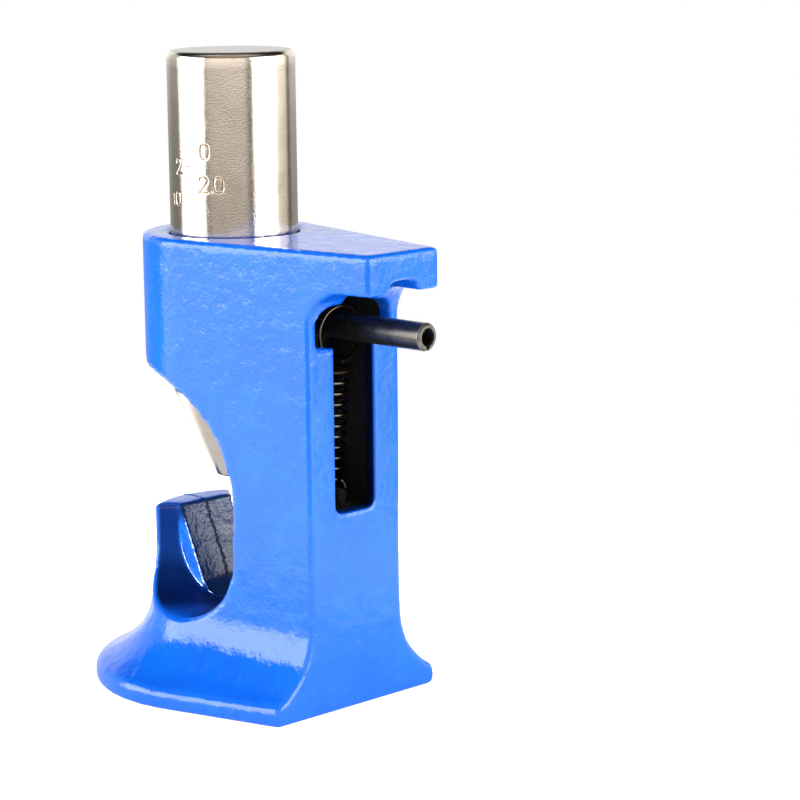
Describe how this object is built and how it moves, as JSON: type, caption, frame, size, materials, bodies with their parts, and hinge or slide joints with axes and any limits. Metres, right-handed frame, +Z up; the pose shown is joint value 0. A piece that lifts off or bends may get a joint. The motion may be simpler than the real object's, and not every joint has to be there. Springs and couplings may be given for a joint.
{
  "type": "hammer lug crimper",
  "caption": "Blue enamelled iron C-frame crimping tool with a V-groove anvil, a round hammer-struck ram with a cone tip and a parking pin in a T-shaped back slot.",
  "frame": {"origin": "on the ram's axis, in the plane the base rests on", "axes": "+Z up along the ram, -Y towards the open mouth, +Y towards the back slot and hood, +X across the tool"},
  "size_m": [0.0668, 0.0905, 0.1403],
  "materials": {
    "enamelled_iron": "glossy enamel over as-cast iron",
    "nickel_plate": "nickel plated, slightly rough, warm",
    "black_oxide": "black oxide, semi-gloss",
    "spring_wire": "oil-tempered spring wire"
  },
  "bodies": {
    "frame": {"body_casting": "enamelled_iron"},
    "spring": {"extension_spring": "spring_wire"},
    "ram": {"ram": "nickel_plate", "spring_pin": "black_oxide"}
  },
  "joints": [
    {"name": "ram_slide", "type": "slide", "parent": "frame", "child": "spring", "axis": [0, 0, 1], "range_m": [-0.023, 0], "stiffness_N_per_m": 400, "springref_m": -0.019, "deforming": ["extension_spring"]},
    {"name": "ram_turn", "type": "hinge", "parent": "spring", "child": "ram", "pos_m": [0, 0, 0], "axis": [0, 0, 1], "range_deg": [-6.8, 0]}
  ]
}
